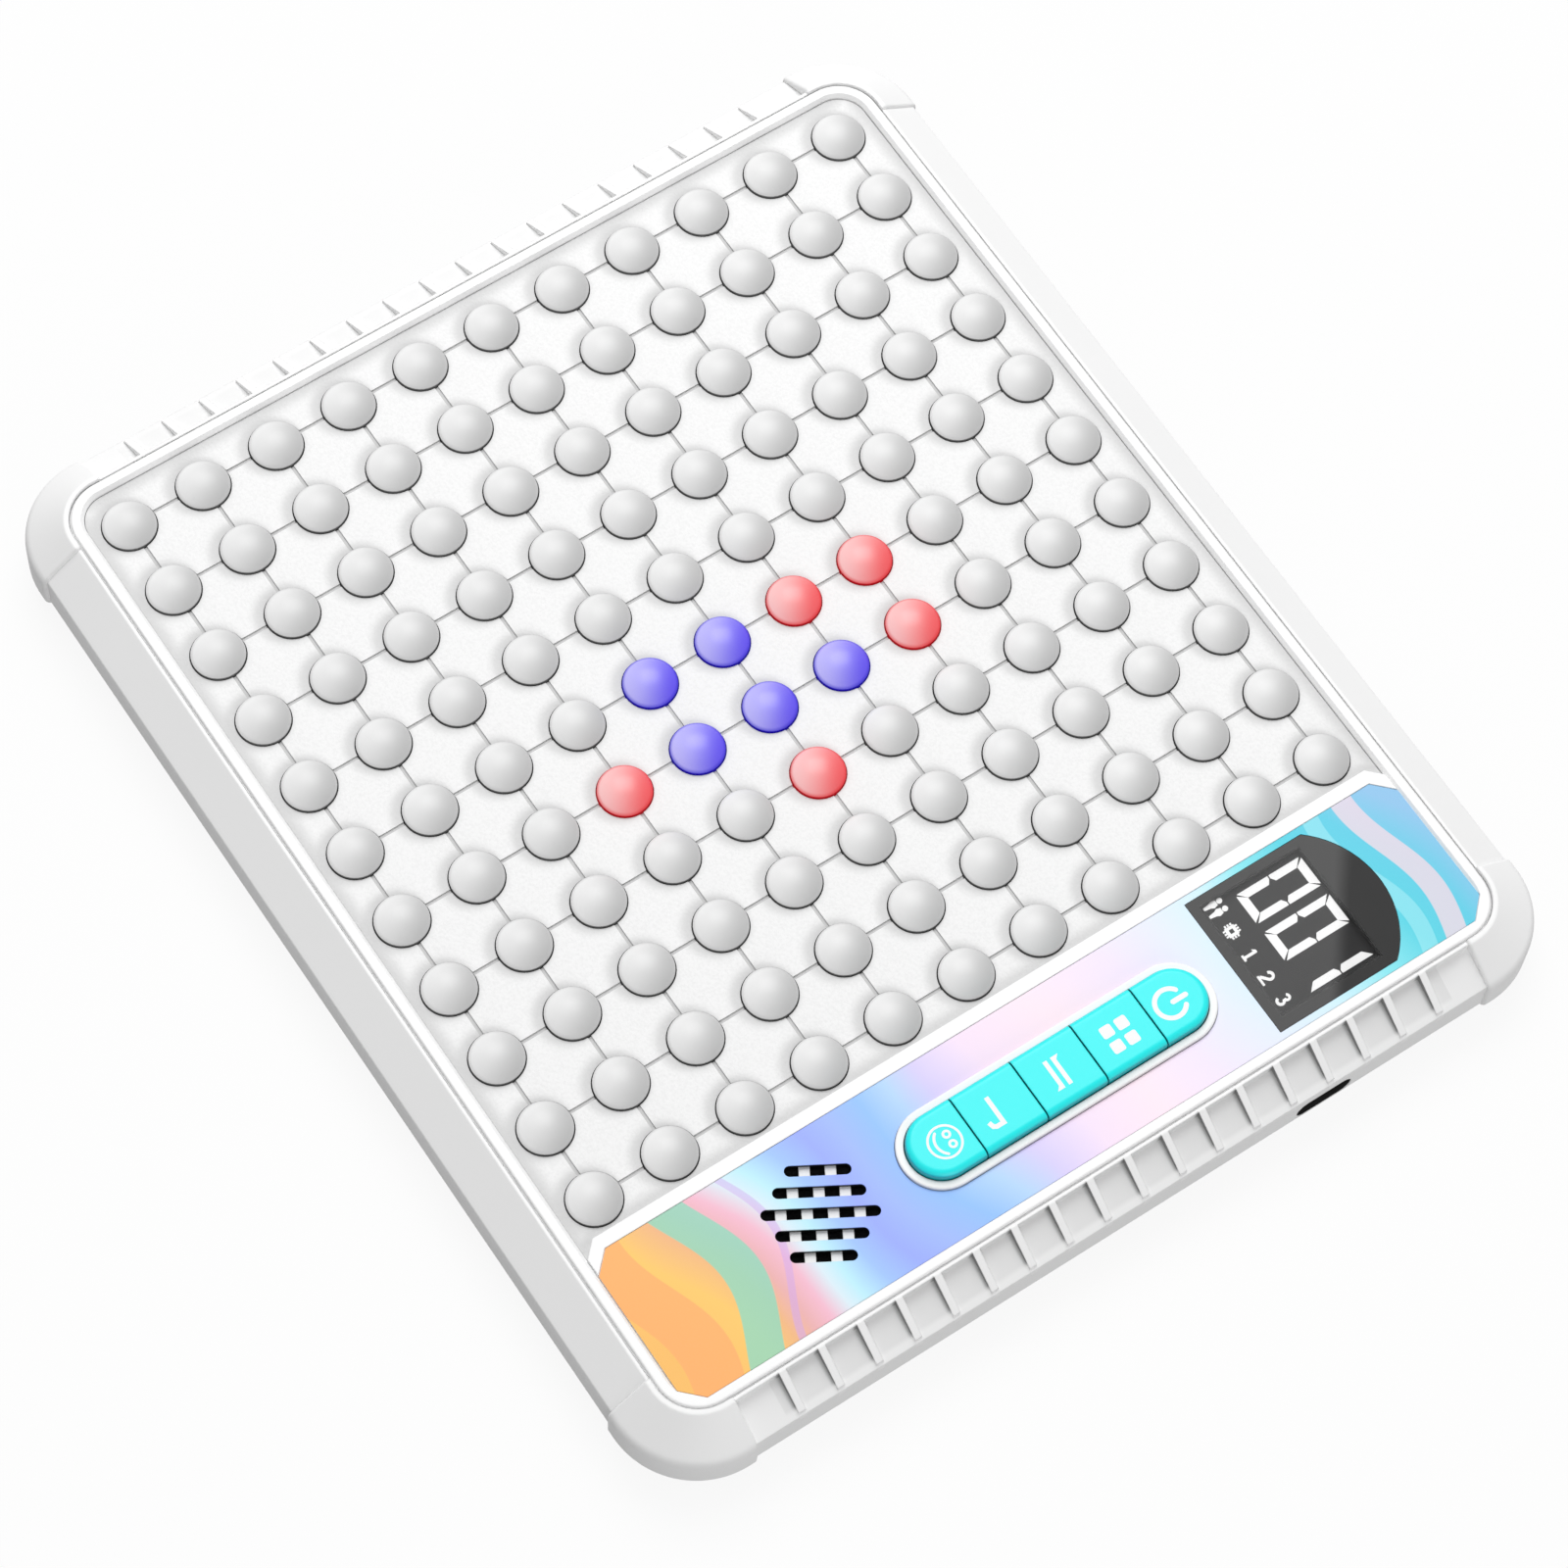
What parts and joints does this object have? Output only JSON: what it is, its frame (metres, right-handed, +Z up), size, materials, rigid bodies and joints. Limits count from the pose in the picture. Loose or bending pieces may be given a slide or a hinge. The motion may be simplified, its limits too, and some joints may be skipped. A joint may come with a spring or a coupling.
{
  "type": "electronic game board",
  "caption": "Flat electronic board game with a square field of domed light-up keys, a printed control strip with display, cyan buttons and speaker, ribbed ends and corner bumpers.",
  "frame": {"origin": "middle of the board, on the surface that it stands on", "axes": "+X towards the control strip, +Y towards the display end of the strip, +Z up"},
  "size_m": [0.2182, 0.1858, 0.0188],
  "materials": {
    "white_shell": "fine satin moulding",
    "white_rim": "smooth satin",
    "white_field": "fine stipple",
    "white_bumper": "soft satin",
    "print": "printed film",
    "smoked": "smoked window",
    "black_block": "matt black",
    "lit_white": "lit white",
    "button_cyan": "smooth",
    "key_grey": "frosted translucent",
    "key_red": "frosted translucent, lit red",
    "key_blue": "frosted translucent, lit blue",
    "board_green": "solder mask",
    "chip_black": "moulded package",
    "lamp_white": "moulded lamp",
    "sheet_rubber": "milky rubber",
    "socket_white": "moulded socket",
    "ribbon_white": "flat ribbon",
    "cell_silver": "foil",
    "foam": "foam",
    "basket_metal": "black",
    "cone_paper": "pressed paper",
    "magnet_metal": "plated",
    "port_metal": "plated",
    "foot_rubber": "matt rubber",
    "screw_steel": "plated"
  },
  "bodies": {
    "board": {"battery_cell": "cell_silver", "battery_pad": "foam", "board_ribbon": "ribbon_white", "bottom_case": "white_shell", "bumper_far_left": "white_bumper", "bumper_far_right": "white_bumper", "bumper_near_left": "white_bumper", "bumper_near_right": "white_bumper", "button_bezel": "white_rim", "case_screws": "screw_steel", "control_board": "board_green", "control_chips": "chip_black", "control_overlay": "print", "digit_segments": "lit_white", "display_module": "black_block", "display_window": "smoked", "feet": "foot_rubber", "grid_panel": "white_field", "indicator_lamps": "lit_white", "key_leds": "lamp_white", "key_sheet": "sheet_rubber", "main_board": "board_green", "outer_case": "white_shell", "port_shell": "port_metal", "port_tongue": "black_block", "ribbon_sockets": "socket_white", "rim_frame": "white_rim", "speaker_basket": "basket_metal", "speaker_cone": "cone_paper", "speaker_magnet": "magnet_metal", "tact_switches": "chip_black"},
    "button_face": {"button_face": "button_cyan"},
    "button_menu": {"button_menu": "button_cyan"},
    "button_power": {"button_power": "button_cyan"},
    "button_swap": {"button_swap": "button_cyan"},
    "button_undo": {"button_undo": "button_cyan"},
    "key_blue_05_04": {"key_blue_05_04": "key_blue"},
    "key_blue_05_05": {"key_blue_05_05": "key_blue"},
    "key_blue_06_04": {"key_blue_06_04": "key_blue"},
    "key_blue_06_05": {"key_blue_06_05": "key_blue"},
    "key_blue_06_06": {"key_blue_06_06": "key_blue"},
    "key_red_05_06": {"key_red_05_06": "key_red"},
    "key_red_05_07": {"key_red_05_07": "key_red"},
    "key_red_06_03": {"key_red_06_03": "key_red"},
    "key_red_06_07": {"key_red_06_07": "key_red"},
    "key_red_07_05": {"key_red_07_05": "key_red"},
    "keys_line_00": {"keys_line_00": "key_grey"},
    "keys_line_01": {"keys_line_01": "key_grey"},
    "keys_line_02": {"keys_line_02": "key_grey"},
    "keys_line_03": {"keys_line_03": "key_grey"},
    "keys_line_04": {"keys_line_04": "key_grey"},
    "keys_line_05": {"keys_line_05": "key_grey"},
    "keys_line_06": {"keys_line_06": "key_grey"},
    "keys_line_07": {"keys_line_07": "key_grey"},
    "keys_line_08": {"keys_line_08": "key_grey"},
    "keys_line_09": {"keys_line_09": "key_grey"},
    "keys_line_10": {"keys_line_10": "key_grey"}
  },
  "joints": [
    {"name": "button_face_press", "type": "slide", "parent": "board", "child": "button_face", "axis": [0, 0, -1], "range_m": [0, 0.0008], "stiffness_N_per_m": 1500},
    {"name": "button_menu_press", "type": "slide", "parent": "board", "child": "button_menu", "axis": [0, 0, -1], "range_m": [0, 0.0008], "stiffness_N_per_m": 1500},
    {"name": "button_power_press", "type": "slide", "parent": "board", "child": "button_power", "axis": [0, 0, -1], "range_m": [0, 0.0008], "stiffness_N_per_m": 1500},
    {"name": "button_swap_press", "type": "slide", "parent": "board", "child": "button_swap", "axis": [0, 0, -1], "range_m": [0, 0.0008], "stiffness_N_per_m": 1500},
    {"name": "button_undo_press", "type": "slide", "parent": "board", "child": "button_undo", "axis": [0, 0, -1], "range_m": [0, 0.0008], "stiffness_N_per_m": 1500},
    {"name": "key_blue_05_04_press", "type": "slide", "parent": "board", "child": "key_blue_05_04", "axis": [0, 0, -1], "range_m": [0, 0.0012], "stiffness_N_per_m": 500},
    {"name": "key_blue_05_05_press", "type": "slide", "parent": "board", "child": "key_blue_05_05", "axis": [0, 0, -1], "range_m": [0, 0.0012], "stiffness_N_per_m": 500},
    {"name": "key_blue_06_04_press", "type": "slide", "parent": "board", "child": "key_blue_06_04", "axis": [0, 0, -1], "range_m": [0, 0.0012], "stiffness_N_per_m": 500},
    {"name": "key_blue_06_05_press", "type": "slide", "parent": "board", "child": "key_blue_06_05", "axis": [0, 0, -1], "range_m": [0, 0.0012], "stiffness_N_per_m": 500},
    {"name": "key_blue_06_06_press", "type": "slide", "parent": "board", "child": "key_blue_06_06", "axis": [0, 0, -1], "range_m": [0, 0.0012], "stiffness_N_per_m": 500},
    {"name": "key_red_05_06_press", "type": "slide", "parent": "board", "child": "key_red_05_06", "axis": [0, 0, -1], "range_m": [0, 0.0012], "stiffness_N_per_m": 500},
    {"name": "key_red_05_07_press", "type": "slide", "parent": "board", "child": "key_red_05_07", "axis": [0, 0, -1], "range_m": [0, 0.0012], "stiffness_N_per_m": 500},
    {"name": "key_red_06_03_press", "type": "slide", "parent": "board", "child": "key_red_06_03", "axis": [0, 0, -1], "range_m": [0, 0.0012], "stiffness_N_per_m": 500},
    {"name": "key_red_06_07_press", "type": "slide", "parent": "board", "child": "key_red_06_07", "axis": [0, 0, -1], "range_m": [0, 0.0012], "stiffness_N_per_m": 500},
    {"name": "key_red_07_05_press", "type": "slide", "parent": "board", "child": "key_red_07_05", "axis": [0, 0, -1], "range_m": [0, 0.0012], "stiffness_N_per_m": 500},
    {"name": "keys_line_00_press", "type": "slide", "parent": "board", "child": "keys_line_00", "axis": [0, 0, -1], "range_m": [0, 0.0012], "stiffness_N_per_m": 4000},
    {"name": "keys_line_01_press", "type": "slide", "parent": "board", "child": "keys_line_01", "axis": [0, 0, -1], "range_m": [0, 0.0012], "stiffness_N_per_m": 4000},
    {"name": "keys_line_02_press", "type": "slide", "parent": "board", "child": "keys_line_02", "axis": [0, 0, -1], "range_m": [0, 0.0012], "stiffness_N_per_m": 4000},
    {"name": "keys_line_03_press", "type": "slide", "parent": "board", "child": "keys_line_03", "axis": [0, 0, -1], "range_m": [0, 0.0012], "stiffness_N_per_m": 4000},
    {"name": "keys_line_04_press", "type": "slide", "parent": "board", "child": "keys_line_04", "axis": [0, 0, -1], "range_m": [0, 0.0012], "stiffness_N_per_m": 4000},
    {"name": "keys_line_05_press", "type": "slide", "parent": "board", "child": "keys_line_05", "axis": [0, 0, -1], "range_m": [0, 0.0012], "stiffness_N_per_m": 4000},
    {"name": "keys_line_06_press", "type": "slide", "parent": "board", "child": "keys_line_06", "axis": [0, 0, -1], "range_m": [0, 0.0012], "stiffness_N_per_m": 4000},
    {"name": "keys_line_07_press", "type": "slide", "parent": "board", "child": "keys_line_07", "axis": [0, 0, -1], "range_m": [0, 0.0012], "stiffness_N_per_m": 4000},
    {"name": "keys_line_08_press", "type": "slide", "parent": "board", "child": "keys_line_08", "axis": [0, 0, -1], "range_m": [0, 0.0012], "stiffness_N_per_m": 4000},
    {"name": "keys_line_09_press", "type": "slide", "parent": "board", "child": "keys_line_09", "axis": [0, 0, -1], "range_m": [0, 0.0012], "stiffness_N_per_m": 4000},
    {"name": "keys_line_10_press", "type": "slide", "parent": "board", "child": "keys_line_10", "axis": [0, 0, -1], "range_m": [0, 0.0012], "stiffness_N_per_m": 4000}
  ]
}
